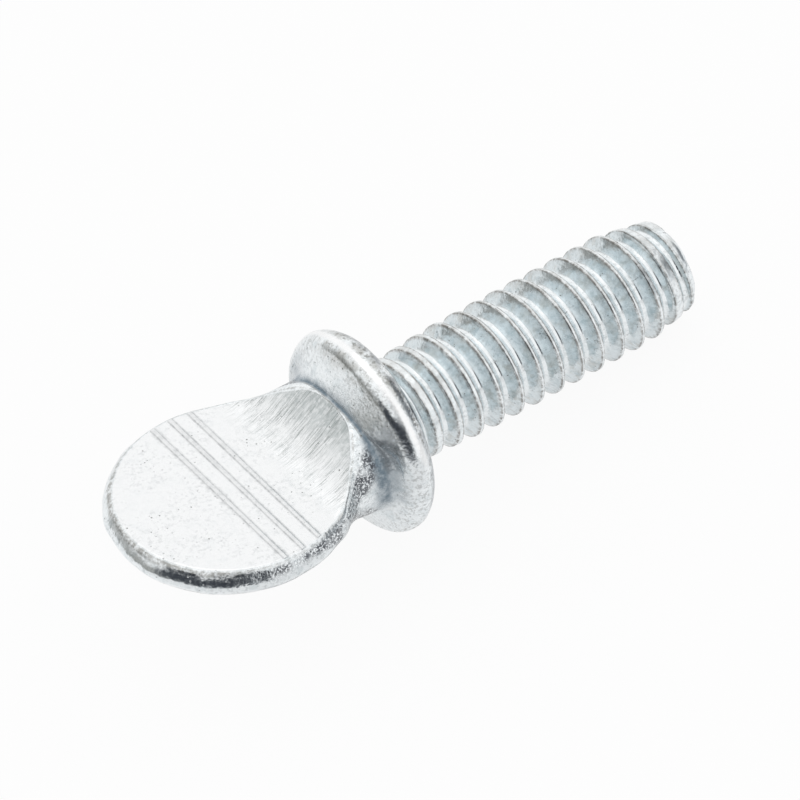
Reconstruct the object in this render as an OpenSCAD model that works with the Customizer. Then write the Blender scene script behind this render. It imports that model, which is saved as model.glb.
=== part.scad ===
// Thumb screw: a coarse threaded shank, a round collar and a flat thumb blade, forged as one solid.
// It is drawn along X with the middle of the collar's bearing face at zero, then laid down as it
// comes to rest on a bench: on the collar's rim and on the thread near the tip, blade level.

/* [Thread] */
// Diameter over the crests of the full thread
thread_diameter = 6.1; // [4:0.05:10]
// Distance from one crest to the next
thread_pitch = 1.27; // [0.8:0.01:1.8]
// Depth of the full thread from crest to root
thread_depth = 0.72; // [0.4:0.01:1]
// Length from the bearing face to the tip
shank_length = 18.45; // [12:0.1:60]
// Diameter of the plain blank, seen where the thread runs out at the collar
blank_diameter = 5.4; // [3.5:0.05:9]
// Length over which the thread rises from the blank beside the collar
runout_length = 1.5; // [0.5:0.1:4]
// How far the crests beside the collar stay below the full thread
crest_shortfall = 0.15; // [0:0.01:0.3]
// Distance from the collar at which the crests reach full height
crest_full_at = 8; // [3:0.5:20]
// Where round the screw a crest crosses the bearing face, in degrees from the blade's edge
thread_start = 353; // [0:1:359]

/* [Tip] */
// Diameter of the flat end
tip_diameter = 5; // [3:0.05:9]
// Length of the taper that leads the thread in
tip_taper = 2.9; // [0.5:0.1:6]

/* [Collar] */
// Diameter of the collar over its rounded rim
collar_diameter = 11.2; // [8:0.1:20]
// Thickness of the collar, which is also the height of its rounded rim
collar_thickness = 1.8; // [1:0.05:4]
// How far the collar's face towards the blade leans out, from its rim to the neck
collar_draft = 0.6; // [0.1:0.05:1]

/* [Blade] */
// Width of the blade over its rounded rim
blade_width = 12.65; // [9:0.1:25]
// How much further the free end reaches than a true circle would
blade_end = 0.15; // [0:0.05:2]
// Thickness between the two flat faces
blade_thickness = 1.65; // [1:0.05:4]
// Distance from the bearing face to the middle of the round blade
blade_reach = 9.15; // [7:0.05:20]
// How far the forged blade sits above the screw's axis
blade_offset = 0.2; // [-0.5:0.05:0.5]
// Height of the rim's curve, carried on over the flat as if uncut; a larger one squares the rim
rim_crown = 1.85; // [1.4:0.05:3]
// Roundness of the rim and neck, 2 for an ellipse and more for a fuller shape
fullness = 2.2; // [2:0.05:3]

/* [Neck] */
// Width of the neck between blade and collar
neck_width = 8.5; // [5:0.1:14]
// Height of the neck
neck_height = 6.05; // [4:0.05:10]
// Width over which the blade's outline sweeps into the neck
waist_sweep = 0.8; // [0.5:0.1:3]
// Distance from the bearing face to the top of the ramp
ramp_top = 2.65; // [2.2:0.05:5]
// Slope of the ramp from the flat up to the neck, in degrees
ramp_slope = 40; // [20:1:55]
// Radius of the curve from the flat into the ramp
ramp_radius = 3.2; // [1:0.1:8]
// Radius of the curve from the neck into the collar
collar_fillet = 0.85; // [0.3:0.05:2]

/* [Grip lines] */
// Number of raised lines across each flat face
rib_count = 3; // [1:1:6]
// Distance between the lines
rib_spacing = 1.09; // [0.7:0.01:2]
// Width of a line
rib_width = 0.27; // [0.15:0.01:0.6]
// Height of a line above the flat
rib_height = 0.06; // [0.03:0.01:0.15]
// Distance from the bearing face to the line nearest the collar
rib_first = 7.57; // [6:0.01:15]
// Clear distance between the ends of the lines and the edge of the flat
rib_margin = 0.15; // [0.1:0.05:2]

/* [Hidden] */
$fn = 64;
steel = [0.86, 0.88, 0.9];

// Thread: one grid that follows the helix, five points to a pitch
turn_steps = 36;
crest_radius = thread_diameter / 2;
root_radius = crest_radius - thread_depth;
blank_radius = blank_diameter / 2;
tip_radius = tip_diameter / 2;
flank_angle = 30;
crest_flat = thread_pitch / 16;
sharp_radius = crest_radius + crest_flat / tan(flank_angle);
root_half = thread_pitch * 0.1;
root_round = thread_pitch * 0.05;
crest_half_max = thread_pitch * 0.3;
thread_from = -thread_pitch * ceil(1 + collar_thickness / 2 / thread_pitch);
thread_turns = ceil((shank_length - thread_from) / thread_pitch) + 2;
profile_points = 5;

// 0 below a, 1 above b, with a smooth rise between
function rise(x, a, b) =
    let (t = max(0, min(1, (x - a) / (b - a))))
    t * t * (3 - 2 * t);

function tip_limit(x) =
    x < shank_length - tip_taper
        ? sharp_radius
        : crest_radius - (crest_radius - tip_radius) * (x - shank_length + tip_taper) / tip_taper;

function crest_at(x) =
    let (full = crest_radius - crest_shortfall * (1 - rise(x, 0, crest_full_at)))
    let (grown = blank_radius + (full - blank_radius) * rise(x, 0, runout_length))
    min(grown, max(tip_limit(x), root_radius));

function root_at(x) =
    let (grown = blank_radius + (root_radius - blank_radius) * rise(x, 0, runout_length))
    min(grown, max(tip_limit(x), tip_radius * 0.8));

// Points of the profile over one pitch: crest, crest, root, root bottom, root
function crest_half(x) = min(crest_half_max, (sharp_radius - crest_at(x)) * tan(flank_angle));

function profile_shift(k, x) =
    k == 0 ? -crest_half(x)
    : k == 1 ? crest_half(x)
    : k == 2 ? thread_pitch / 2 - root_half
    : k == 3 ? thread_pitch / 2
    : thread_pitch / 2 + root_half;

function profile_radius(k, x) =
    k < 2 ? crest_at(x)
    : k == 3 ? root_at(x)
    : root_at(x) + root_round * (crest_at(x) - root_at(x)) / thread_depth;

function thread_point(i, k) =
    let (a = 360 * i / turn_steps + thread_start)
    let (middle = thread_from + thread_pitch * i / turn_steps)
    let (x = middle + profile_shift(k, middle))
    let (r = profile_radius(k, x))
    [x, r * cos(a), r * sin(a)];

thread_steps = thread_turns * turn_steps;

// Index of a grid point, where the point after a pitch's last is the next turn's first
function grid_index(i, k) = k == profile_points ? (i + turn_steps) * profile_points : i * profile_points + k;

module threaded_shank() {
    last = thread_steps + turn_steps;
    points = concat(
        [for (i = [0:last], k = [0:profile_points - 1]) thread_point(i, k)],
        [[thread_from - thread_pitch, 0, 0], [thread_point(last, 0)[0] + thread_pitch, 0, 0]]
    );
    start_hub = (last + 1) * profile_points;
    end_hub = start_hub + 1;
    skin = [
        for (i = [0:thread_steps - 1], k = [0:profile_points - 1], half = [0, 1])
            half == 0
                ? [grid_index(i, k), grid_index(i, k + 1), grid_index(i + 1, k + 1)]
                : [grid_index(i, k), grid_index(i + 1, k + 1), grid_index(i + 1, k)]
    ];
    start_cap = concat(
        [for (i = [0:turn_steps - 1]) [start_hub, grid_index(i, 0), grid_index(i + 1, 0)]],
        [for (k = [0:profile_points - 1]) [start_hub, grid_index(0, k + 1), grid_index(0, k)]]
    );
    end_cap = concat(
        [
            for (i = [thread_steps:last - 1])
                [end_hub, grid_index(i + 1, 0), grid_index(i, 0)]
        ],
        [
            for (k = [0:profile_points - 1])
                [end_hub, grid_index(thread_steps, k), grid_index(thread_steps, k + 1)]
        ]
    );
    difference() {
        polyhedron(points = points, faces = concat(skin, start_cap, end_cap), convexity = 10);
        translate([shank_length, -thread_diameter, -thread_diameter])
            cube([thread_pitch * 6, thread_diameter * 2, thread_diameter * 2]);
    }
}

// Collar: a disc with a fully rounded rim, its face towards the blade a low cone
rim_radius = collar_thickness / 2;
rim_centre_radius = collar_diameter / 2 - rim_radius;
cone_top_share = 0.98;

module collar() {
    cone_top = min(neck_crown, rim_centre_radius) * cone_top_share;
    rotate([0, -90, 0])
        rotate_extrude() {
            polygon([
                [0, 0],
                [rim_centre_radius, 0],
                [rim_centre_radius, collar_thickness],
                [cone_top, collar_thickness + collar_draft],
                [0, collar_thickness + collar_draft]
            ]);
            translate([rim_centre_radius, rim_radius])
                intersection() {
                    circle(r = rim_radius);
                    translate([0, -rim_radius])
                        square([rim_radius, collar_thickness]);
                }
        }
}

// Head: cross-sections from the blade's round end to inside the collar
blade_radius = blade_width / 2;
flat_height = blade_thickness / 2;
neck_half = neck_width / 2;
neck_crown = neck_height / 2;
head_inside = collar_thickness * 0.7;
end_angle = 4;
fan_steps = 18;
body_steps = 30;
rim_steps = 7;
thin_strip = 0.03;

function smooth_max(a, b, k) =
    let (h = max(k - abs(a - b), 0) / k)
    max(a, b) + h * h * k / 4;

end_stretch = (blade_radius + blade_end) / blade_radius;

// Distance along the screw from the blade's middle, as on a true circle
function along(x) = x < -blade_reach ? (-blade_reach - x) / end_stretch : x + blade_reach;

function blade_circle(x) = sqrt(max(0, pow(blade_radius, 2) - pow(along(x), 2)));

// Quarter-circle flare from the neck into the collar's face
function flare(x) =
    let (d = min(0.95, max(0, (x + collar_thickness + collar_fillet) / collar_fillet)))
    collar_fillet * (1 - sqrt(1 - d * d));

function half_width(x) =
    x < -blade_reach
        ? blade_circle(x)
        : smooth_max(blade_circle(x), neck_half, waist_sweep) + flare(x) * 0.3;

function on_neck(x) = rise(x, -ramp_top - ramp_run - 1, -ramp_top - 1);

function crown(x) = rim_crown + (neck_crown - rim_crown) * on_neck(x) + flare(x);

function mid_height(x) = blade_offset * (1 - rise(x, -ramp_top - 3, -ramp_top));

// The ramp: flat, then a curve, then a straight slope up to the neck's crown
ramp_bend = ramp_radius * sin(ramp_slope);
ramp_bend_rise = ramp_radius * (1 - cos(ramp_slope));
ramp_rise = neck_crown - flat_height;
ramp_run = ramp_bend + max(0, ramp_rise - ramp_bend_rise) / tan(ramp_slope);

function ramp_height(x) =
    let (d = max(0, x + ramp_top + ramp_run))
    d < ramp_bend
        ? flat_height + ramp_radius - sqrt(pow(ramp_radius, 2) - d * d)
        : flat_height + ramp_bend_rise + (d - ramp_bend) * tan(ramp_slope);

// Angle on the section's curve at which the flat or ramp cuts it
function cut_angle(x) =
    let (share = min(1, ramp_height(x) / crown(x)))
    asin(pow(share, fullness / 2));

function top_angle(x) =
    x < -blade_reach
        ? min(cut_angle(x), acos(pow(min(1, along(x) / blade_radius), fullness / 2)))
        : cut_angle(x);

function section_y(x, angle) =
    x < -blade_reach
        ? let (r = blade_radius * pow(cos(angle), 2 / fullness))
          sqrt(max(0, r * r - pow(along(x), 2)))
        : half_width(x) * pow(cos(angle), 2 / fullness);

// Upper right quarter of a section, from the rim up to the edge of the flat
function quarter(x) =
    let (top = top_angle(x))
    [
        for (j = [0:rim_steps])
            let (angle = top * j / rim_steps)
            [max(section_y(x, angle), thin_strip), crown(x) * pow(sin(angle), 2 / fullness)]
    ];

// The whole section, round from the right-hand rim over the top and back underneath
function section(x) =
    let (q = quarter(x), m = mid_height(x))
    concat(
        [for (j = [0:rim_steps]) [x, q[j][0], m + q[j][1]]],
        [for (j = [rim_steps:-1:0]) [x, -q[j][0], m + q[j][1]]],
        [for (j = [1:rim_steps]) [x, -q[j][0], m - q[j][1]]],
        [for (j = [rim_steps:-1:1]) [x, q[j][0], m - q[j][1]]]
    );

section_points = 4 * rim_steps + 2;

stations = concat(
    [
        for (i = [0:fan_steps])
            -blade_reach - (blade_radius + blade_end) * cos(end_angle + (90 - end_angle) * i / fan_steps)
    ],
    [
        for (i = [1:body_steps])
            -blade_reach + (blade_reach - head_inside) * i / body_steps
    ]
);

module head() {
    n = section_points;
    last = len(stations) - 1;
    points = [for (x = stations) each section(x)];
    skin = [
        for (i = [0:last - 1], j = [0:n - 1], half = [0, 1])
            let (a = i * n + j, b = i * n + (j + 1) % n)
            half == 0 ? [a, b + n, b] : [a, a + n, b + n]
    ];
    ends = [
        [for (j = [0:n - 1]) j],
        [for (j = [n - 1:-1:0]) last * n + j]
    ];
    polyhedron(points = points, faces = concat(skin, ends), convexity = 6);
}

// Grip lines: low rounded ribs straight across each flat
rib_round = (pow(rib_width / 2, 2) + pow(rib_height, 2)) / (2 * rib_height);

module grip_lines() {
    for (i = [0:rib_count - 1], side = [-1, 1]) {
        x = -rib_first - i * rib_spacing;
        reach = max(1, section_y(x, cut_angle(x)) - rib_margin);
        z = mid_height(x) + side * (flat_height + rib_height - rib_round);
        translate([x, reach, z])
            rotate([90, 0, 0])
                cylinder(r = rib_round, h = 2 * reach);
    }
}

// At rest: on the rim of the collar and on the thread where the taper begins
rest_x = shank_length - tip_taper + rim_radius;
rest_z = rim_centre_radius - crest_radius;
rest_tilt = atan2(rest_z, rest_x) + asin(rim_radius / norm([rest_x, rest_z]));
rest_lift = rim_radius + rim_centre_radius * cos(rest_tilt) - rim_radius * sin(rest_tilt);
tip_reach = shank_length * cos(rest_tilt) + tip_radius * sin(rest_tilt);
head_reach = (blade_reach + blade_radius + blade_end) * cos(rest_tilt) - blade_offset * sin(rest_tilt);
rest_shift = (head_reach - tip_reach) / 2;

module thumb_screw() {
    color(steel)
        translate([rest_shift, 0, rest_lift])
            rotate([0, rest_tilt, 0])
                union() {
                    threaded_shank();
                    collar();
                    head();
                    grip_lines();
                }
}

thumb_screw();
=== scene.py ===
"""Thumb screw: the dressed model, its zinc-plated steel, and the studio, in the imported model's frame."""
import math

import bpy
import numpy as np
from mathutils import Matrix, Vector


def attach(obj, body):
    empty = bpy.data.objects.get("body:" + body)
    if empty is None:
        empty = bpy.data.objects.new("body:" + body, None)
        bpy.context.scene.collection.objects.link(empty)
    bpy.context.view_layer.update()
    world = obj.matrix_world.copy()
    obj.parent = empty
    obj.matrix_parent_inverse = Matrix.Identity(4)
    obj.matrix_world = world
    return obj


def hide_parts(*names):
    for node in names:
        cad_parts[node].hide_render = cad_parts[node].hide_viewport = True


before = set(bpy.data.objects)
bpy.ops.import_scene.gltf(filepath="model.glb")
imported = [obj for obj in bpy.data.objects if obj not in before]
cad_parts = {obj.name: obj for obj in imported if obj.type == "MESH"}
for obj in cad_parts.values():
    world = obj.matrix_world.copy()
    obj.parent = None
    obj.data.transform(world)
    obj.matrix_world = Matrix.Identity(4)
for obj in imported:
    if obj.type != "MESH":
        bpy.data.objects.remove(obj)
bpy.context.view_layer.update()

# Sizes in millimetres, in the screw's own frame: X along the axis towards the tip, 0 at the
# collar's bearing face, Z square to the blade.

# Thread: its crests are CREST_SHORTFALL low at the collar and full from CREST_FULL_AT on
PITCH = 1.27
CREST_RADIUS = 3.05
THREAD_DEPTH = 0.72
SHANK_LENGTH = 18.45
BLANK_RADIUS = 2.7
RUNOUT = 1.5
CREST_SHORTFALL = 0.28
CREST_FULL_AT = 6.0
CREST_ROUNDING = 0.035
ROOT_ROUNDING = 0.14
THREAD_START = math.radians(353)
TIP_RADIUS = 2.5
TIP_TAPER = 2.9
TIP_ROUNDING = 0.22

# Collar: a disc with a fully rounded rim. The fillet towards the neck is small above and below,
# by the sine of the angle round the axis, and larger at the sides.
COLLAR_RADIUS = 5.6
COLLAR_THICKNESS = 1.8
SIDE_FILLET = 0.9
TOP_FILLET = 0.22
TOP_FILLET_FROM = 0.35
TOP_FILLET_FULL = 0.8

# Blade: a disc stretched along X and cut by two flats. Its rim slants by RIM_DRAFT behind a
# rounded nose, up to RIM_HEIGHT.
BLADE_RADIUS = 6.325
BLADE_STRETCH = 1.0237
BLADE_REACH = 9.15
BLADE_OFFSET = 0.2
FLAT_HEIGHT = 0.825
RIM_DRAFT = 0.72
RIM_NOSE = 0.19
RIM_HEIGHT = 2.5

# Softness of the flat's edge: at the ramp's top, what the sides add, what the free end adds
TOP_SOFTNESS = 0.1
SIDE_SOFTNESS = 0.25
END_SOFTNESS = 0.08

# Neck: the blade's rim turns into an oval section, and a ramp leads up from each flat
NECK_HALF = 4.25
NECK_CROWN = 3.025
BLADE_CROWN = 1.85
FULLNESS = 2.2
OVAL_FROM = -8.0
OVAL_FULL = -5.0
WAIST_SWEEP = 0.8
RAMP_TOP = 2.65
RAMP_SLOPE = math.radians(40)
RAMP_RADIUS = 3.2

# Grip lines: low rounded ribs across each flat
RIB_COUNT = 3
RIB_SPACING = 1.09
RIB_WIDTH = 0.27
RIB_HEIGHT = 0.06
RIB_FIRST = 7.57
RIB_MARGIN = 0.15

# Unevenness left by forging: how far it goes, its wavelength and its seed
RIM_WANDER = 0.07
RIM_WAVELENGTH = 2.0
RIM_SEED = 11
COLLAR_WANDER = 0.05
COLLAR_WAVELENGTH = 2.6
COLLAR_SEED = 23

# How the screw lies: turned about Y, then lifted and shifted
REST_TILT = math.radians(8.84845)
REST_LIFT = 5.405624
REST_SHIFT = -1.60335

METRES = 0.001


# Small mathematics

def smoothstep(x, low, high):
    t = np.clip((x - low) / (high - low), 0.0, 1.0)
    return t * t * (3.0 - 2.0 * t)


def smooth_min(a, b, k):
    h = np.maximum(k - np.abs(a - b), 0.0) / k
    return np.minimum(a, b) - h * h * k / 4.0


def smooth_max(a, b, k):
    return -smooth_min(-a, -b, k)


def hump(x, middle, width):
    """1 at the middle, falling away to both sides."""
    return np.exp(-((x - middle) / width) ** 2)


def waves(points, seed, wavelength, count=24):
    """Smooth repeatable unevenness of about unit size, as a sum of plane waves."""
    rng = np.random.default_rng(seed)
    direction = rng.normal(size=(count, 3))
    direction /= np.linalg.norm(direction, axis=1)[:, None]
    number = 2.0 * math.pi / (wavelength * rng.uniform(0.7, 1.6, count))
    phase = rng.uniform(0.0, 2.0 * math.pi, count)
    return np.sin(points @ (direction * number[:, None]).T + phase).sum(axis=1) * math.sqrt(2.0 / count)


def unevenness(points, seed, wavelength):
    """The same, from 0 to 1."""
    return 0.5 * (1 + np.tanh(waves(points, seed, wavelength)))


# Meshes

WELD_DECIMALS = 5
SHARP_ANGLE = math.radians(38)


def weld(points, faces):
    """Joins points that coincide and drops faces that collapse."""
    key = np.round(points, WELD_DECIMALS)
    _, first, inverse = np.unique(key, axis=0, return_index=True, return_inverse=True)
    inverse = inverse.reshape(-1)
    kept = []
    for face in faces:
        ring = []
        for i in face:
            j = int(inverse[i])
            if not ring or ring[-1] != j:
                ring.append(j)
        if len(ring) > 1 and ring[0] == ring[-1]:
            ring.pop()
        if len(ring) > 2:
            kept.append(ring)
    return points[first], kept


def signed_volume(points, faces):
    total = 0.0
    for face in faces:
        a = points[face[0]]
        for i in range(1, len(face) - 1):
            total += np.dot(a, np.cross(points[face[i]], points[face[i + 1]]))
    return total / 6.0


def closed_object(name, points, faces):
    """A mesh object from a closed skin, turned so that its faces look outwards."""
    points, faces = weld(np.asarray(points, float), faces)
    if signed_volume(points, faces) < 0:
        faces = [list(reversed(f)) for f in faces]
    mesh = bpy.data.meshes.new(name)
    mesh.from_pydata(points.tolist(), [], faces)
    mesh.update()
    obj = bpy.data.objects.new(name, mesh)
    bpy.context.scene.collection.objects.link(obj)
    return obj


def combine(target, other, operation):
    """Boolean of two closed objects, kept in the first; the second is removed."""
    step = target.modifiers.new("combine", "BOOLEAN")
    step.operation = operation
    step.solver = "MANIFOLD"
    step.object = other
    bpy.context.view_layer.update()
    graph = bpy.context.evaluated_depsgraph_get()
    mesh = bpy.data.meshes.new_from_object(target.evaluated_get(graph))
    if len(mesh.vertices) == len(target.data.vertices):
        raise RuntimeError(f"{operation} with {other.name} did nothing")
    target.modifiers.clear()
    old = target.data
    target.data = mesh
    bpy.data.meshes.remove(old)
    bpy.data.objects.remove(other, do_unlink=True)
    return target


def box_object(name, low, high):
    x0, y0, z0 = low
    x1, y1, z1 = high
    points = [(x, y, z) for x in (x0, x1) for y in (y0, y1) for z in (z0, z1)]
    faces = [[0, 1, 3, 2], [4, 6, 7, 5], [0, 4, 5, 1], [2, 3, 7, 6], [0, 2, 6, 4], [1, 5, 7, 3]]
    return closed_object(name, points, faces)


# Head and collar

RAMP_BEND = RAMP_RADIUS * math.sin(RAMP_SLOPE)
RAMP_BEND_RISE = RAMP_RADIUS * (1 - math.cos(RAMP_SLOPE))
RAMP_RUN = RAMP_BEND + (NECK_CROWN - FLAT_HEIGHT - RAMP_BEND_RISE) / math.tan(RAMP_SLOPE)

# Rows of the mesh across a quarter of the section: over the rim, over the flat's edge, on the flat
OUTER_ROWS = 20
EDGE_ROWS = 8
FLAT_ROWS = 18
ROWS = OUTER_ROWS + EDGE_ROWS + FLAT_ROWS
EDGE_OUTSIDE = 0.16
EDGE_INSIDE = 0.4
INNERMOST_EDGE = 0.30
HALVINGS = 40

# Stations of the mesh along the head, closer together towards the neck, and round the collar
BLADE_MERIDIANS = 110
BODY_STATIONS = 120
STATION_CROWDING = 1.35
FILLET_STEPS = 18
SLOPE_STEPS = 8
RIM_STEPS = 30
BEARING_RADII = (4.0, 3.4, 2.3)


def ramp_height(x):
    """Height of the flat and of the ramp that bends up from it."""
    d = np.maximum(0.0, x + RAMP_TOP + RAMP_RUN)
    below_centre = np.sqrt(np.maximum(0.0, RAMP_RADIUS ** 2 - np.minimum(d, RAMP_BEND) ** 2))
    bend = FLAT_HEIGHT + RAMP_RADIUS - below_centre
    slope = FLAT_HEIGHT + RAMP_BEND_RISE + (d - RAMP_BEND) * math.tan(RAMP_SLOPE)
    return np.where(d < RAMP_BEND, bend, slope)


def half_width(x):
    circle = np.sqrt(np.maximum(0.0, BLADE_RADIUS ** 2 - (x + BLADE_REACH) ** 2))
    return smooth_max(circle, NECK_HALF, WAIST_SWEEP)


def on_neck(x):
    return smoothstep(x, -RAMP_TOP - RAMP_RUN - 1, -RAMP_TOP - 1)


def mid_height(x):
    """The blade's middle plane lies a little above the screw's axis."""
    return BLADE_OFFSET * (1 - smoothstep(x, -RAMP_TOP - 3, -RAMP_TOP))


def uncut_height(x, y, half):
    """Height of the head's section at y, before the flats cut it."""
    inward = np.maximum(half - y, 0.0)
    drafted = np.sqrt((inward + RIM_NOSE) ** 2 - RIM_NOSE ** 2) / RIM_DRAFT
    crown = BLADE_CROWN + (NECK_CROWN - BLADE_CROWN) * on_neck(x)
    oval = crown * np.maximum(0.0, 1 - np.clip(y / half, 0, 1) ** FULLNESS) ** (1 / FULLNESS)
    share = smoothstep(x, OVAL_FROM, OVAL_FULL)
    return np.minimum(drafted, RIM_HEIGHT) * (1 - share) + oval * share


def edge_of_flat(x, half, height):
    """Where the flat's height meets the section, found by halving."""
    low, high = INNERMOST_EDGE * half, half
    for _ in range(HALVINGS):
        middle = (low + high) / 2
        if uncut_height(x, middle, half) > height:
            low = middle
        else:
            high = middle
    return (low + high) / 2


def edge_softness(x):
    """Softness of the flat's edge: well rounded at the free end, crisp at the ramp's top."""
    before_top = float(1 - smoothstep(x, -3.6, -RAMP_TOP))
    free_end = float(1 - smoothstep(x, -13.0, -9.8))
    return TOP_SOFTNESS + SIDE_SOFTNESS * before_top + END_SOFTNESS * free_end


def quarter(x, half, height, softness):
    """Rows from the equator up over the rim's edge to the middle of the flat: (y, z)."""
    edge = edge_of_flat(x, half, height)
    outer_end = edge + min(EDGE_OUTSIDE, (half - edge) * 0.4)
    inner_start = edge - min(EDGE_INSIDE, edge * 0.25)
    theta = np.linspace(0.0, math.pi / 2, OUTER_ROWS)
    rows = np.concatenate([
        half - (half - outer_end) * (1 - np.cos(theta)),
        np.linspace(outer_end, inner_start, EDGE_ROWS + 1)[1:],
        np.linspace(inner_start, 0.0, FLAT_ROWS + 1)[1:],
    ])
    z = smooth_min(uncut_height(x, rows, half), height, softness)
    z[0] = 0.0
    return rows, z


def half_profile(rows, z):
    """From the middle of the top over the rim to the middle of the underside."""
    return np.concatenate([rows[::-1], rows[1:]]), np.concatenate([z[::-1], -z[1:]])


def wander(points):
    """The small unevenness of a forging: rim and collar stay up to a few hundredths inside their form."""
    x, y, z = points.T
    below = ramp_height(x) - np.abs(z - mid_height(x))
    off_flat = smoothstep(below, 0.02, 0.3) * (1 - smoothstep(x, -4.0, -3.0))
    uneven = unevenness(points * (1, 1, 0.4), RIM_SEED, RIM_WAVELENGTH)
    length = np.maximum(np.hypot(np.minimum(x + BLADE_REACH, 0.0), y), 0.1)
    pull = RIM_WANDER * uneven * off_flat / length
    moved = points.copy()
    moved[:, 0] -= pull * np.minimum(x + BLADE_REACH, 0.0)
    moved[:, 1] -= pull * y
    radius = np.maximum(np.hypot(y, z), 0.1)
    on_rim = smoothstep(radius, 4.4, 5.2) * smoothstep(x, -2.2, -1.9)
    pull = COLLAR_WANDER * unevenness(points, COLLAR_SEED, COLLAR_WAVELENGTH) * on_rim / radius
    moved[:, 1] -= pull * y
    moved[:, 2] -= pull * z
    return moved


def steps(count):
    """Shares from just above 0 to 1."""
    return np.linspace(0, 1, count + 1)[1:]


def head_and_collar():
    points = []
    faces = []

    def add(array):
        start = sum(len(p) for p in points)
        points.append(array)
        return start

    def sheet(starts, count, wrap):
        for a, b in zip(starts, starts[1:]):
            for j in range(count if wrap else count - 1):
                k = (j + 1) % count
                faces.append([a + j, a + k, b + k, b + j])

    # Round free end: half-profiles turned about the blade's middle
    rows, z = quarter(-BLADE_REACH, BLADE_RADIUS, FLAT_HEIGHT, edge_softness(-BLADE_REACH - BLADE_RADIUS))
    body_half = float(half_width(-BLADE_REACH))
    body_rows, body_z = quarter(-BLADE_REACH, body_half, FLAT_HEIGHT, edge_softness(-BLADE_REACH))
    starts = []
    for alpha in np.linspace(math.pi, 0, BLADE_MERIDIANS + 1):
        share = math.sin(alpha)
        r, h = half_profile(rows * share + body_rows * (1 - share), z * share + body_z * (1 - share))
        x = -BLADE_REACH - r * math.sin(alpha) * BLADE_STRETCH
        starts.append(add(np.column_stack([x, r * math.cos(alpha), h + BLADE_OFFSET])))
    sheet(starts, 2 * ROWS - 1, False)

    # Body: whole sections from the blade's middle to the start of the fillet
    t = np.linspace(0, 1, BODY_STATIONS + 1)
    stations = -BLADE_REACH + (BLADE_REACH - RAMP_TOP) * (1 - (1 - t) ** STATION_CROWDING)
    starts = []
    for x in stations:
        rows, z = quarter(x, float(half_width(x)), float(ramp_height(x)), edge_softness(x))
        y, h = half_profile(rows, z)
        ring_y = np.concatenate([y, -y[-2:0:-1]])
        ring_z = np.concatenate([h, h[-2:0:-1]])
        ring = np.column_stack([np.full(len(ring_y), x), ring_y, ring_z + float(mid_height(x))])
        starts.append(add(ring))
    count = len(ring)

    # Fillet from the neck, the collar's sloping face, its rounded rim, and the bearing face
    angle = np.arctan2(ring_z, ring_y)
    neck = np.hypot(ring_y, ring_z)
    rim = COLLAR_THICKNESS / 2
    rim_middle = COLLAR_RADIUS - rim
    on_top = smoothstep(np.abs(np.sin(angle)), TOP_FILLET_FROM, TOP_FILLET_FULL)
    fillet = SIDE_FILLET + (TOP_FILLET - SIDE_FILLET) * on_top
    along = RAMP_TOP - rim
    outward = rim_middle - neck - fillet
    lean = np.arcsin(np.minimum(1.0, (fillet + rim) / np.hypot(along, outward)))
    swept = np.arctan2(outward, along) + lean

    def place(x, r):
        starts.append(add(np.column_stack([x, r * np.cos(angle), r * np.sin(angle)])))

    for share in steps(FILLET_STEPS):
        turn = swept * share
        place(-RAMP_TOP + fillet * np.sin(turn), neck + fillet * (1 - np.cos(turn)))
    foot_x = -RAMP_TOP + fillet * np.sin(swept)
    foot_r = neck + fillet * (1 - np.cos(swept))
    brow_x = -rim - rim * np.sin(swept)
    brow_r = rim_middle + rim * np.cos(swept)
    for share in steps(SLOPE_STEPS):
        place(foot_x + (brow_x - foot_x) * share, foot_r + (brow_r - foot_r) * share)
    for share in steps(RIM_STEPS):
        turn = swept + (-math.pi / 2 - swept) * share
        place(-rim - rim * np.sin(turn), rim_middle + rim * np.cos(turn))
    for r in BEARING_RADII:
        place(np.zeros(count), r)
    sheet(starts, count, True)
    hub = add(np.array([[0.0, 0.0, 0.0]]))
    last = starts[-1]
    for j in range(count):
        faces.append([last + j, last + (j + 1) % count, hub])
    return closed_object("head_and_collar", wander(np.concatenate(points)), faces)


def grip_line(x, side):
    """One low rounded rib across a flat, as a closed rounded bar."""
    around = 40
    lengthways = 30
    round_radius = ((RIB_WIDTH / 2) ** 2 + RIB_HEIGHT ** 2) / (2 * RIB_HEIGHT)
    half = float(half_width(x)) if x > -BLADE_REACH else math.sqrt(
        BLADE_RADIUS ** 2 - ((x + BLADE_REACH) / BLADE_STRETCH) ** 2)
    reach = edge_of_flat(-BLADE_REACH, half, FLAT_HEIGHT) - RIB_MARGIN
    middle = BLADE_OFFSET + side * (FLAT_HEIGHT + RIB_HEIGHT - round_radius)
    points = []
    for i in range(lengthways + 1):
        y = -reach + 2 * reach * i / lengthways
        for j in range(around):
            a = 2 * math.pi * j / around
            points.append((x + round_radius * math.cos(a), y, middle + round_radius * math.sin(a)))
    faces = []
    for i in range(lengthways):
        for j in range(around):
            k = (j + 1) % around
            faces.append([i * around + j, i * around + k, (i + 1) * around + k, (i + 1) * around + j])
    faces.append(list(reversed(range(around))))
    faces.append([lengthways * around + j for j in range(around)])
    return closed_object("grip_line", points, faces)


# Thread

FLANK = math.tan(math.radians(30))
ROOT_RADIUS = CREST_RADIUS - THREAD_DEPTH
SHARP_RADIUS = CREST_RADIUS + PITCH / 16 / FLANK
NARROWEST = TIP_RADIUS * 0.8
WIDEST_CREST_HALF = 0.3 * PITCH
TURN_STEPS = 96

# The thread's mesh starts inside the collar, where it narrows to a core that stays hidden
THREAD_FROM = -2 * PITCH
CORE_UNTIL = -1.0
CORE_RADIUS = 2.0
CORE_POINT = 0.6
CLEAR_OF_THREAD = 8

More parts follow.
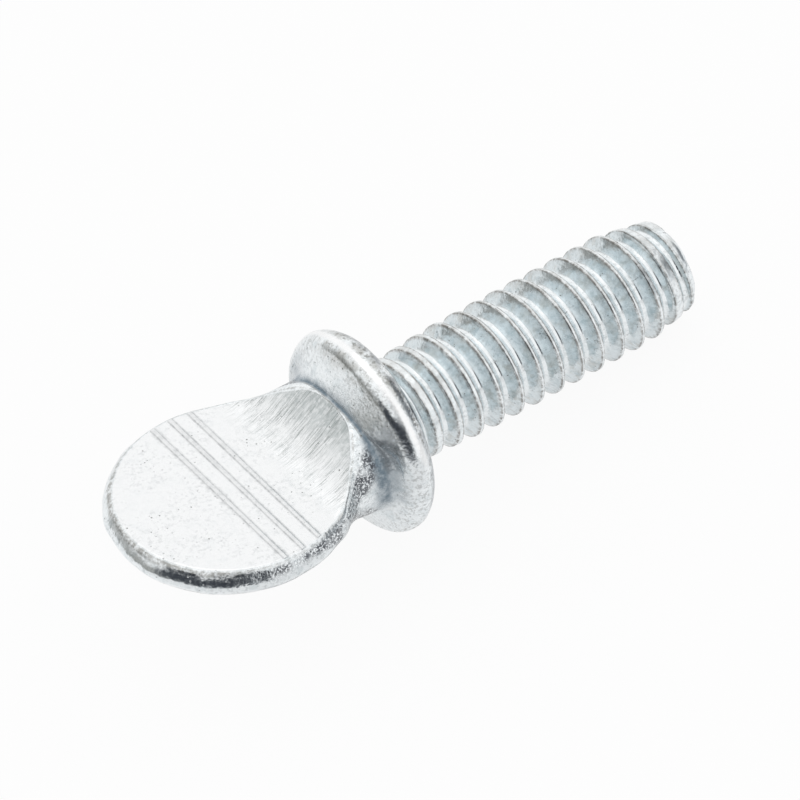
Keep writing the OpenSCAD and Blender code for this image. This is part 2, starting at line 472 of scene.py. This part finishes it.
# Where the groove's form is sampled: shares of the crest, past its shoulder, shares of the
# flank, past the flank's foot
ON_CREST = (0.0, 0.45)
PAST_SHOULDER = (-0.02, 0.0, 0.022, 0.055)
ON_FLANK = (0.35, 0.7)
PAST_FOOT = (0.0, 0.05, 0.1, 0.145)
ROOT_HALF = 0.19


def tip_limit(x):
    taper = CREST_RADIUS - (CREST_RADIUS - TIP_RADIUS) * (x - SHANK_LENGTH + TIP_TAPER) / TIP_TAPER
    limit = np.where(x < SHANK_LENGTH - TIP_TAPER, SHARP_RADIUS, taper)
    into = np.clip((x - SHANK_LENGTH + TIP_ROUNDING) / TIP_ROUNDING, 0, 1)
    return limit - TIP_ROUNDING * (1 - np.sqrt(1 - into ** 2))


def crest_at(x):
    full = CREST_RADIUS - CREST_SHORTFALL * (1 - smoothstep(x, 0, CREST_FULL_AT))
    grown = BLANK_RADIUS + (full - BLANK_RADIUS) * smoothstep(x, 0, RUNOUT)
    return np.minimum(grown, np.maximum(tip_limit(x), NARROWEST))


def root_at(x):
    grown = BLANK_RADIUS + (ROOT_RADIUS - BLANK_RADIUS) * smoothstep(x, 0, RUNOUT)
    return np.minimum(grown, np.maximum(tip_limit(x), NARROWEST))


def crest_half(x):
    return np.minimum(WIDEST_CREST_HALF, (SHARP_RADIUS - crest_at(x)) * FLANK)


def groove_samples(middle):
    """Distances along X from a crest's middle, over one pitch, with the seam on a flank."""
    crest = crest_half(middle)
    foot = PITCH / 2 - ROOT_HALF
    shoulder = PAST_SHOULDER[-1]
    side = [crest * share for share in ON_CREST]
    side += [crest + past for past in PAST_SHOULDER]
    side += [crest + shoulder + (foot - crest - shoulder) * share for share in ON_FLANK]
    side += [foot + past for past in PAST_FOOT]
    shifts = [-s for s in side[:0:-1]] + side + [PITCH / 2]
    seam = len(side) - 1 - len(PAST_FOOT)
    return shifts[seam:] + [PITCH + s for s in shifts[:seam]]


def thread_shell():
    """The thread as a helical grid, closed by a fan at each end and cut off square at the tip."""
    turns = math.ceil((SHANK_LENGTH - THREAD_FROM) / PITCH) + 2
    rows = turns * TURN_STEPS
    i = np.arange(rows + TURN_STEPS + 1)
    angle = 2 * math.pi * i / TURN_STEPS + THREAD_START
    middle = THREAD_FROM + PITCH * i / TURN_STEPS
    columns = []
    for shift in groove_samples(middle):
        x = middle + shift
        off_middle = (shift + PITCH / 2) % PITCH - PITCH / 2
        crest = crest_at(x)
        r = smooth_min(crest, SHARP_RADIUS - np.abs(off_middle) / FLANK, CREST_ROUNDING)
        r = np.minimum(smooth_max(r, root_at(x), ROOT_ROUNDING), crest)
        r = np.where(x < CORE_UNTIL, CORE_RADIUS, r)
        columns.append(np.column_stack([x, r * np.cos(angle), r * np.sin(angle)]))
    n = len(columns)
    points = np.stack(columns, axis=1).reshape(-1, 3)

    def at(row, k):
        return (row + TURN_STEPS) * n if k == n else row * n + k

    faces = []
    for s in range(rows):
        for k in range(n):
            faces.append([at(s, k), at(s, k + 1), at(s + 1, k + 1), at(s + 1, k)])
    start_hub = len(points)
    end_hub = start_hub + 1
    end_x = points[rows * n][0] + 2 * PITCH
    points = np.vstack([points, [[THREAD_FROM - CORE_POINT, 0, 0], [end_x, 0, 0]]])
    for s in range(TURN_STEPS):
        faces.append([start_hub, at(s, 0), at(s + 1, 0)])
    for k in range(n):
        faces.append([start_hub, at(0, k + 1), at(0, k)])
    for s in range(rows, rows + TURN_STEPS):
        faces.append([end_hub, at(s + 1, 0), at(s, 0)])
    for k in range(n):
        faces.append([end_hub, at(rows, k), at(rows, k + 1)])
    shell = closed_object("thread", points, faces)
    clear = CLEAR_OF_THREAD
    keep = box_object("keep", (-clear, -clear, -clear), (SHANK_LENGTH, clear, clear))
    return combine(shell, keep, "INTERSECT")


# The whole screw

def to_row_frame(points):
    """From the screw's frame in millimetres to the row's in metres."""
    c, s = math.cos(REST_TILT), math.sin(REST_TILT)
    x = points[:, 0] * c + points[:, 2] * s + REST_SHIFT
    z = -points[:, 0] * s + points[:, 2] * c + REST_LIFT
    return np.column_stack([x, points[:, 1], z]) * METRES


def vertex_array(mesh):
    co = np.zeros(len(mesh.vertices) * 3, np.float32)
    mesh.vertices.foreach_get("co", co)
    return co.reshape(-1, 3).astype(float)


def store(mesh, name, values):
    """Keeps one number or one vector for every vertex, for the material to read."""
    values = np.asarray(values, np.float32)
    kind, field = ("FLOAT_VECTOR", "vector") if values.ndim == 2 else ("FLOAT", "value")
    mesh.attributes.new(name, kind, "POINT").data.foreach_set(field, values.ravel())


def mark_surfaces(mesh, p):
    """Where each kind of surface is, and where shade and highlights are painted, from 0 to 1, by the
    vertices' places in the screw's frame.
    """
    x, y, z = p.T
    radius = np.hypot(y, z)
    store(mesh, "screw_mm", p)

    # The flats with their ramps, and painted shade towards the ramp's top
    above = np.abs(z - mid_height(x)) - ramp_height(x)
    flat = smoothstep(above, -0.03, -0.01) * (x < -RAMP_TOP + 0.02)
    ramp = smoothstep(x, -RAMP_TOP - RAMP_RUN - 0.3, -RAMP_TOP - RAMP_RUN + 1.6)
    store(mesh, "flat", flat)
    store(mesh, "ramp", flat * ramp)
    store(mesh, "ramp_top", flat * (0.08 * ramp + 0.92 * smoothstep(x, -5.0, -2.9)))

    # The thread's flanks and the shoulders of its crests
    on_thread = smoothstep(x, -0.05, 0.1)
    top = np.clip((radius - root_at(x)) / np.maximum(crest_at(x) - root_at(x), 0.05), 0, 1)
    turn = (np.arctan2(z, y) - THREAD_START) / (2 * math.pi)
    phase = ((x - THREAD_FROM) / PITCH - turn + 0.5) % 1.0 - 0.5
    off_shoulder = np.abs(np.abs(phase) * PITCH - crest_half(x))
    store(mesh, "flank", on_thread * smoothstep(top, 0.02, 0.25) * (1 - smoothstep(top, 0.88, 0.99)))
    store(mesh, "shoulder", on_thread * hump(off_shoulder, 0.01, 0.035))

    # Painted shade just below the flat's edge at the free end, a painted dark line just under the edge
    # itself, and one at the ramp's end on the collar
    free_end = 1 - smoothstep(x, -13.2, -11.0)
    edge_line = hump(above, -0.075, 0.03) * (x < -RAMP_TOP)
    ramp_end = hump(x, 0.02 - RAMP_TOP, 0.045) * smoothstep(np.abs(z), 1.8, 2.4) * (radius < 3.6)
    store(mesh, "under", hump(above, -0.16, 0.11) * free_end * (1 - flat))
    store(mesh, "flat_edge", np.maximum(edge_line, ramp_end))

    # Grip lines, most at their sides
    rib = np.zeros(len(x))
    for i in range(RIB_COUNT):
        away = np.abs(x + RIB_FIRST + i * RIB_SPACING)
        rib = np.maximum(rib, hump(away, RIB_WIDTH / 2, 0.05))
        rib = np.maximum(rib, 0.4 * (away < RIB_WIDTH / 2))
    store(mesh, "rib_edge", rib * flat)

    # Where the dies left the plate uneven, and the sugary band below the flat's edge, which lies deeper
    # towards the neck; in the material the band's grains are coloured near-black as a painted dark
    # reflection
    forged = smoothstep(x, -17.0, -12.0) * (1 - 0.6 * smoothstep(x, -2.6, -2.2))
    deeper = smoothstep(x, -8.5, -3.4)
    band_top = 0.14 + 0.3 * deeper
    band_foot = 0.5 + 1.15 * deeper
    band = smoothstep(-above, band_top - 0.08, band_top + 0.08)
    band = band * (1 - smoothstep(-above, band_foot - 0.2, band_foot + 0.2))
    sugar = smoothstep(x, -11.6, -10.2) * (1 - smoothstep(x, -2.9, -2.5)) * band
    store(mesh, "peened", forged * (1 - flat) * (1 - on_thread))
    store(mesh, "sugar", sugar * (1 - flat) * smoothstep(np.abs(y), 2.5, 3.2))

    # Painted shade in the hollow between neck and collar, wide beside the neck and narrow above it,
    # fainter on the underside; on the upper side it spreads out over the collar's face
    beside = 1 - smoothstep(np.abs(z) / np.maximum(radius, 0.1), 0.35, 0.8)
    hollow = hump(x + 0.05 * beside, -2.52, 0.12 + 0.43 * beside) * (1 - flat)
    hollow = hollow * (x > -RAMP_TOP - 0.9 * beside - 0.02)
    hollow = hollow * (1 - 0.75 * smoothstep(-z, 0.2, 1.8))
    spread = 0.55 * beside * (1 - smoothstep(radius, 4.4, 5.5))
    spread = spread * smoothstep(x, -2.9, -2.5) * smoothstep(z, -1.4, -0.2)
    store(mesh, "hollow", np.maximum(hollow, spread * (1 - on_thread)))

    # The collar's rim: its dark brow, the bright ridge, which is a highlight painted on its upper side,
    # where it is worn, and stains on top
    on_collar = smoothstep(x, -2.2, -1.6) * (1 - on_thread)
    ridge = hump(x + 0.12 * z, -0.5, 0.18) * smoothstep(radius, 4.9, 5.3)
    ridge = np.minimum(1.3 * ridge, 1.0) * smoothstep(z, 1.0, 2.3)
    worn = np.maximum(smoothstep(-z, 1.5, 3.0), smoothstep(z, 4.5, 5.3))
    worn = np.maximum(smoothstep(x, -0.8, -0.5), worn)
    worn = np.maximum(smoothstep(radius, 5.1, 5.45) * worn, 0.5)
    crest_stain = on_thread * smoothstep(top, 0.8, 0.95) * smoothstep(np.abs(z), 1.5, 2.6)
    store(mesh, "brow", on_collar * smoothstep(x, -0.75, -0.4) * smoothstep(radius, 4.6, 5.2))
    store(mesh, "ridge", on_collar * ridge)
    store(mesh, "outer_rim", on_collar * worn * (1 - 0.8 * ridge))
    store(mesh, "stain", on_collar * smoothstep(z, 3.8, 5.0) * (1 - ridge) + 0.55 * crest_stain)


def make_screw():
    screw = combine(head_and_collar(), thread_shell(), "UNION")
    for i in range(RIB_COUNT):
        for side in (-1, 1):
            screw = combine(screw, grip_line(-RIB_FIRST - i * RIB_SPACING, side), "UNION")
    screw.name = "thumb_screw_body"
    mesh = screw.data
    mesh.name = "thumb_screw_body"
    mesh.polygons.foreach_set("use_smooth", [True] * len(mesh.polygons))
    mesh.set_sharp_from_angle(angle=SHARP_ANGLE)
    p = vertex_array(mesh)
    mark_surfaces(mesh, p)
    mesh.vertices.foreach_set("co", to_row_frame(p).astype(np.float32).ravel())
    mesh.update()
    return screw


# Materials

# Tones of the plate, of its shades and pits, of the dirt that has settled on it, and of painted shade,
# highlight and reflection
ZINC = (0.91, 0.945, 0.96, 1)
ZINC_ON_FLAT = (0.925, 0.935, 0.94, 1)
ZINC_FLANK_SHADE = (0.75, 0.81, 0.835, 1)
ZINC_PAINTED_HIGHLIGHT = (0.98, 0.98, 0.98, 1)
MOTTLE_BLUE = (0.52, 0.60, 0.63, 1)
HOLLOW_SHADE_BLUE = (0.11, 0.175, 0.23, 1)
RAMP_TOP_SHADE_GREY = (0.49, 0.53, 0.53, 1)
STREAK_GREY = (0.27, 0.31, 0.30, 1)
FLECK_GREY = (0.45, 0.48, 0.49, 1)
WORKED_GREY = (0.34, 0.37, 0.39, 1)
BROW_GREY = (0.30, 0.32, 0.35, 1)
SPECKLE_GREY = (0.22, 0.22, 0.205, 1)
SUGAR_GRAIN_DARK_REFLECTION = (0.06, 0.065, 0.08, 1)
PIT_BLACK = (0.16, 0.16, 0.15, 1)
UMBER = (0.50, 0.49, 0.45, 1)
STAIN_BROWN = (0.40, 0.39, 0.36, 1)
RIB_DIRT = (0.42, 0.43, 0.44, 1)
EDGE_LINE_SHADE = (0.26, 0.24, 0.21, 1)
UNDER_EDGE_SHADE = (0.20, 0.185, 0.16, 1)
SHOULDER_DARK_LINE = (0.17, 0.15, 0.13, 1)

WHITE = (1, 1, 1, 1)


class Graph:
    """Short calls for building a node tree."""

    def __init__(self, tree):
        self.tree = tree
        tree.nodes.clear()

    def node(self, kind, **settings):
        n = self.tree.nodes.new(kind)
        for key, value in settings.items():
            setattr(n, key, value)
        return n

    def put(self, socket, value):
        if isinstance(value, bpy.types.NodeSocket):
            self.tree.links.new(value, socket)
        else:
            socket.default_value = value

    def math(self, operation, a, b):
        n = self.node("ShaderNodeMath", operation=operation)
        self.put(n.inputs[0], a)
        self.put(n.inputs[1], b)
        return n.outputs[0]

    def product(self, first, *others):
        for other in others:
            first = self.math("MULTIPLY", first, other)
        return first

    def ramp(self, value, low, high, to_low=0.0, to_high=1.0):
        n = self.node("ShaderNodeMapRange", interpolation_type="SMOOTHSTEP")
        for socket, v in zip(n.inputs, (value, low, high, to_low, to_high)):
            self.put(socket, v)
        return n.outputs[0]

    def weight(self, name):
        """A number kept on the mesh's vertices."""
        return self.node("ShaderNodeAttribute", attribute_name=name).outputs["Fac"]

    def vector_math(self, operation, vector, other=None):
        n = self.node("ShaderNodeVectorMath", operation=operation)
        self.put(n.inputs[0], vector)
        if other is not None:
            self.put(n.inputs[1], other)
        return n.outputs["Value" if operation == "DOT_PRODUCT" else "Vector"]

    def noise(self, vector, scale, detail=2.0, roughness=0.5):
        n = self.node("ShaderNodeTexNoise")
        self.put(n.inputs["Vector"], vector)
        self.put(n.inputs["Scale"], scale)
        self.put(n.inputs["Detail"], detail)
        self.put(n.inputs["Roughness"], roughness)
        return n.outputs["Fac"]

    def mix(self, factor, a, b):
        n = self.node("ShaderNodeMix", data_type="RGBA")
        self.put(n.inputs[0], factor)
        self.put(n.inputs[6], a)
        self.put(n.inputs[7], b)
        return n.outputs[2]

    def tint(self, colour, tone, *shares):
        """The colour, turned to the tone by the product of the shares."""
        return self.mix(self.product(*shares), colour, tone)

    def choose(self, factor, first, second):
        n = self.node("ShaderNodeMixShader")
        self.put(n.inputs[0], factor)
        self.put(n.inputs[1], first)
        self.put(n.inputs[2], second)
        return n.outputs[0]

    def output(self, kind, surface):
        self.put(self.node(kind).inputs["Surface"], surface)


def pits(g, vector, scale, size, amount):
    """Round pits at random: 1 in a pit, 0 outside."""
    cell = g.node("ShaderNodeTexVoronoi")
    g.put(cell.inputs["Vector"], vector)
    g.put(cell.inputs["Scale"], scale)
    chance = g.node("ShaderNodeSeparateColor")
    g.put(chance.inputs[0], cell.outputs["Color"])
    radius = g.product(g.ramp(chance.outputs[0], 1.0 - amount, 1.0), size)
    distance = g.math("SUBTRACT", radius, cell.outputs["Distance"])
    return g.ramp(distance, 0.0, size * 0.5)


def zinc_material():
    material = bpy.data.materials.new("zinc_plated_steel")
    material.use_nodes = True
    g = Graph(material.node_tree)
    position = g.node("ShaderNodeAttribute", attribute_name="screw_mm").outputs["Vector"]

    def patches(scale, low, high, detail=4.0, roughness=0.65, faint=0.0):
        """Patches of noise, from faint where it is under low to 1 where it is over high."""
        return g.ramp(g.noise(position, scale, detail, roughness), low, high, faint, 1.0)

    flat = g.weight("flat")
    ramp = g.weight("ramp")
    flank = g.weight("flank")
    peened = g.weight("peened")
    sugar = g.weight("sugar")
    not_flat = g.math("SUBTRACT", 1.0, flat)

    # Plate: pale zinc, a little bluer off the flats and darker and greyer on the thread's flanks, where
    # shade is painted, mottled
    plate = g.mix(flat, ZINC, ZINC_ON_FLAT)
    plate = g.mix(flank, plate, ZINC_FLANK_SHADE)
    mottled = g.math("ADD", g.math("SUBTRACT", 0.38, g.product(flat, 0.30)), g.product(flank, 0.4))
    plate = g.tint(plate, MOTTLE_BLUE, patches(1.7, 0.47, 0.7), mottled)
    plate = g.tint(plate, UMBER, patches(1.1, 0.5, 0.66), flank, 0.45)

    # Pits and flecks, in loose groups
    grouped = patches(0.7, 0.38, 0.62, detail=2.0, roughness=0.5, faint=0.15)
    fine_pits = pits(g, position, scale=5.0, size=0.30, amount=0.35)
    large_pits = pits(g, position, scale=2.3, size=0.17, amount=0.3)
    spots = g.product(g.math("MAXIMUM", fine_pits, large_pits), grouped)
    flecks = g.product(patches(4.6, 0.49, 0.62, roughness=0.7), grouped)

    # Drawing streaks up the ramp, along the screw, closing up towards its top
    streak = g.noise(g.vector_math("MULTIPLY", position, (0.8, 23.0, 0.8)), 1.0, 3.0, 0.7)
    bundle = g.noise(g.vector_math("MULTIPLY", position, (0.35, 1.6, 0.35)), 1.0)
    bundles = g.ramp(bundle, 0.3, 0.65, 0.35, 1.0)
    streaks = g.product(g.ramp(streak, 0.49, 0.63), g.product(ramp, bundles))
    # Painted shade, in patches, towards the ramp's top
    ramp_top_shade = g.product(g.weight("ramp_top"), patches(3.2, 0.36, 0.62, roughness=0.7, faint=0.45))
    colour = g.tint(plate, RAMP_TOP_SHADE_GREY, ramp_top_shade, 0.95)
    colour = g.tint(colour, STREAK_GREY, streaks, 0.8)

    # Flecks, fainter on the flats, and the uneven plate off them
    fleck_depth = g.math("SUBTRACT", 0.42, g.product(flat, 0.16))
    colour = g.tint(colour, FLECK_GREY, flecks, fleck_depth)
    worked = patches(6.3, 0.54, 0.64, detail=2.0, roughness=0.6)
    colour = g.tint(colour, WORKED_GREY, worked, peened, 0.32)

    # The painted blue shade in the hollow, stains, and the dark grains of the sugary band
    hollow = g.product(g.weight("hollow"), patches(2.2, 0.3, 0.6, faint=0.6))
    colour = g.tint(colour, HOLLOW_SHADE_BLUE, hollow, 0.92)
    blotch = patches(1.3, 0.36, 0.62)
    colour = g.tint(colour, STAIN_BROWN, g.weight("stain"), blotch, 0.6)
    # Painted dark reflection: the sugary band's grains are coloured near-black; their roughness is in the
    # relief below
    grains = patches(8.5, 0.42, 0.51, detail=2.0, roughness=0.6)
    cover = patches(1.1, 0.35, 0.55, detail=2.0, roughness=0.5, faint=0.3)
    colour = g.tint(colour, SUGAR_GRAIN_DARK_REFLECTION, grains, g.product(sugar, cover), 0.88)

    # The collar's rim: brow, specks and the painted highlight along the ridge
    colour = g.tint(colour, BROW_GREY, g.weight("brow"), blotch, 0.7)
    speckle = patches(4.8, 0.51, 0.60, roughness=0.7)
    colour = g.tint(colour, SPECKLE_GREY, speckle, g.weight("outer_rim"), 0.75)
    colour = g.tint(colour, PIT_BLACK, spots, 0.7)
    colour = g.tint(colour, ZINC_PAINTED_HIGHLIGHT, g.weight("ridge"), 0.85)

    # Dirt along the ribs, painted shade along and under the edges of the flats, and dark lines on the
    # shoulders of the thread's crests
    broken = patches(3.4, 0.38, 0.6, roughness=0.7, faint=0.15)
    colour = g.tint(colour, RIB_DIRT, g.weight("rib_edge"), g.math("MAXIMUM", broken, 0.55), 0.8)
    colour = g.tint(colour, UNDER_EDGE_SHADE, g.weight("under"), broken, 0.72)
    colour = g.tint(colour, EDGE_LINE_SHADE, g.weight("flat_edge"), broken, 0.55)
    colour = g.tint(colour, SHOULDER_DARK_LINE, g.weight("shoulder"), broken, 0.85)

    # Relief in millimetres: a fine grain, strongest on the sugary band, low dents, pits, streaks
    grain = g.noise(position, 6.0)
    dents = g.noise(position, 1.7)
    beading = g.math("ADD", g.product(peened, 0.014), g.product(sugar, 0.05))
    height = g.product(grain, g.math("ADD", 0.002, g.product(not_flat, 0.003)))
    height = g.math("ADD", height, g.product(grain, beading))
    height = g.math("ADD", height, g.product(dents, g.product(not_flat, 0.03)))
    height = g.math("SUBTRACT", height, g.product(spots, 0.015))
    height = g.math("SUBTRACT", height, g.product(streaks, 0.006))
    bump = g.node("ShaderNodeBump")
    bump.inputs["Strength"].default_value = 1.0
    bump.inputs["Distance"].default_value = METRES
    g.put(bump.inputs["Height"], height)

    # Metal all over, except in the hollow, which is duller where its shade is painted
    rough = g.math("ADD", g.ramp(grain, 0.3, 0.7, 0.12, 0.22), g.product(spots, 0.25))
    shader = g.node("ShaderNodeBsdfPrincipled")
    g.put(shader.inputs["Base Color"], colour)
    g.put(shader.inputs["Metallic"], g.math("SUBTRACT", 1.0, g.product(hollow, 0.85)))
    g.put(shader.inputs["Roughness"], rough)
    g.put(shader.inputs["Normal"], bump.outputs["Normal"])
    g.output("ShaderNodeOutputMaterial", shader.outputs[0])
    return material


# Camera: its right, down and away directions in the screw's frame, and the middle of the
# bearing face as the camera sees it, in millimetres
CAMERA_RIGHT = (0.80324954, -0.595008, -0.02748929)
CAMERA_DOWN = (-0.43614295, -0.55609907, -0.70748367)
CAMERA_AWAY = (0.40567168, 0.58027519, -0.70619487)
SEEN_FROM_CAMERA = (-1.2076, 1.1540, 685.44)
FOCAL_LENGTH = 611.66
SENSOR = 36.0
CLIP_START = 0.01
CLIP_END = 20.0


def turned(vector):
    """A direction in the screw's frame, as one in the row's."""
    c, s = math.cos(REST_TILT), math.sin(REST_TILT)
    x, y, z = vector
    return Vector((x * c + z * s, y, -x * s + z * c))


def make_camera():
    axes = np.array([CAMERA_RIGHT, CAMERA_DOWN, CAMERA_AWAY])
    place = -axes.T @ np.array(SEEN_FROM_CAMERA)
    place = Vector(to_row_frame(place[None, :])[0])
    right, up, back = turned(CAMERA_RIGHT), -turned(CAMERA_DOWN), -turned(CAMERA_AWAY)
    camera = bpy.data.objects.new("camera", bpy.data.cameras.new("camera"))
    camera.data.lens = FOCAL_LENGTH
    camera.data.sensor_width = SENSOR
    camera.data.clip_start = CLIP_START
    camera.data.clip_end = CLIP_END
    turn = Matrix((right, up, back)).transposed().to_4x4()
    camera.matrix_world = Matrix.Translation(place) @ turn
    bpy.context.scene.collection.objects.link(camera)
    bpy.context.scene.camera = camera


# Studio: upright columns of the tent's wall. Turn and half-width are in degrees, the turn from
# the camera's bearing; top is the sine of the height angle; the blurs soften top and sides.
WALL = dict(turn=0.0, half_width=120.0, top=0.25, top_blur=0.35, side_blur=0.13)
LEFT_DUSK = dict(turn=-84.0, half_width=38.0, top=0.4, top_blur=0.25, side_blur=0.3)
RIGHT_DUSK = dict(turn=102.0, half_width=22.0, top=0.55, top_blur=0.15, side_blur=0.06)
CAMERA_LENS = dict(turn=8.0, half_width=14.0, top=0.95, top_blur=0.05, side_blur=0.13)
OPENING = dict(turn=-24.0, half_width=44.0, top=0.62, top_blur=0.1, side_blur=0.13)
BRIGHT_PANEL = dict(turn=46.0, half_width=20.0, top=0.7, top_blur=0.1, side_blur=0.04)

WALL_GREY = (0.66, 0.68, 0.70, 1)
LEFT_GREY = (0.32, 0.32, 0.305, 1)
RIGHT_GREY = (0.26, 0.275, 0.29, 1)
LENS_BLACK = (0.05, 0.055, 0.06, 1)
OPENING_BLACK = (0.045, 0.05, 0.06, 1)


def make_world():
    """A white tent, open and dark low down on the camera's side, with the camera looking in above."""
    world = bpy.data.worlds.new("studio")
    bpy.context.scene.world = world
    world.use_nodes = True
    g = Graph(world.node_tree)
    direction = g.node("ShaderNodeTexCoord").outputs["Generated"]
    parts = g.node("ShaderNodeSeparateXYZ")
    g.put(parts.inputs[0], direction)
    rise = parts.outputs[2]
    level = g.vector_math("NORMALIZE", g.vector_math("MULTIPLY", direction, (1.0, 1.0, 0.0)))
    toward = -turned(CAMERA_AWAY)
    bearing = math.atan2(toward.y, toward.x)

    def column(turn, half_width, top, top_blur, side_blur):
        """1 inside a column of the tent's wall, 0 outside, soft at its edges."""
        angle = bearing + math.radians(turn)
        facing = g.vector_math("DOT_PRODUCT", level, (math.cos(angle), math.sin(angle), 0.0))
        edge = math.cos(math.radians(half_width))
        across = g.ramp(facing, edge - side_blur, edge + side_blur)
        return g.product(across, g.ramp(rise, top - top_blur, top + top_blur, 1.0, 0.0))

    tent = g.mix(column(**WALL), WHITE, WALL_GREY)
    tent = g.mix(column(**LEFT_DUSK), tent, LEFT_GREY)
    tent = g.mix(column(**RIGHT_DUSK), tent, RIGHT_GREY)
    tent = g.tint(tent, LENS_BLACK, column(**CAMERA_LENS), 0.55)
    tent = g.tint(tent, OPENING_BLACK, column(**OPENING), g.ramp(rise, 0.0, 0.22, 0.4, 1.0))
    tent = g.mix(column(**BRIGHT_PANEL), tent, WHITE)
    light = g.node("ShaderNodeBackground")
    g.put(light.inputs["Color"], tent)
    seen = g.node("ShaderNodeBackground")
    g.put(seen.inputs["Color"], WHITE)
    to_camera = g.node("ShaderNodeLightPath").outputs["Is Camera Ray"]
    g.output("ShaderNodeOutputWorld", g.choose(to_camera, light.outputs[0], seen.outputs[0]))


# Floor: white paper. The camera sees it nearly pure white, and the metal reflects it darker on
# the camera's side of the screw; the edges are in metres along the camera's level direction.
FLOOR_HALF = 0.6
PAPER = (0.9, 0.9, 0.9, 1)
SEEN_SHARE = 0.93
NEAR_EDGE = -0.013
FAR_EDGE = -0.004
NEAR_SHARE = 0.12
FAR_SHARE = 0.7


def make_floor():
    h = FLOOR_HALF
    points = [(-h, -h, 0), (h, -h, 0), (h, h, 0), (-h, h, 0)]
    mesh = bpy.data.meshes.new("floor")
    mesh.from_pydata(points, [], [[0, 1, 2, 3]])
    floor = bpy.data.objects.new("floor", mesh)
    bpy.context.scene.collection.objects.link(floor)
    material = bpy.data.materials.new("floor")
    material.use_nodes = True
    g = Graph(material.node_tree)
    paper = g.node("ShaderNodeBsdfDiffuse")
    g.put(paper.inputs["Color"], PAPER)
    white = g.node("ShaderNodeEmission")
    g.put(white.inputs["Color"], WHITE)
    path = g.node("ShaderNodeLightPath")
    away = turned(CAMERA_AWAY)
    place = g.node("ShaderNodeNewGeometry").outputs["Position"]
    behind = g.vector_math("DOT_PRODUCT", place, (away.x, away.y, 0.0))
    lit = g.ramp(behind, NEAR_EDGE, FAR_EDGE, NEAR_SHARE, FAR_SHARE)
    share = g.math("ADD", g.product(path.outputs["Is Camera Ray"], SEEN_SHARE),
                   g.product(path.outputs["Is Glossy Ray"], lit))
    g.output("ShaderNodeOutputMaterial", g.choose(share, paper.outputs[0], white.outputs[0]))
    mesh.materials.append(material)


LIGHT_PLACE = (0.1, 0.15, 0.6)
LIGHT_SIZE = 0.5
LIGHT_ENERGY = 0.1


def make_light():
    """One broad soft light overhead."""
    data = bpy.data.lights.new("overhead", "AREA")
    data.shape = "DISK"
    data.size = LIGHT_SIZE
    data.energy = LIGHT_ENERGY
    light = bpy.data.objects.new("overhead", data)
    light.location = LIGHT_PLACE
    light.rotation_euler = (-Vector(LIGHT_PLACE)).to_track_quat("-Z", "Y").to_euler()
    bpy.context.scene.collection.objects.link(light)


# Scene

screw = make_screw()
screw.data.materials.clear()
screw.data.materials.append(zinc_material())
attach(screw, "root")
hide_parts("thumb_screw")
make_camera()
make_world()
make_floor()
make_light()
bpy.context.scene.view_settings.view_transform = "Standard"
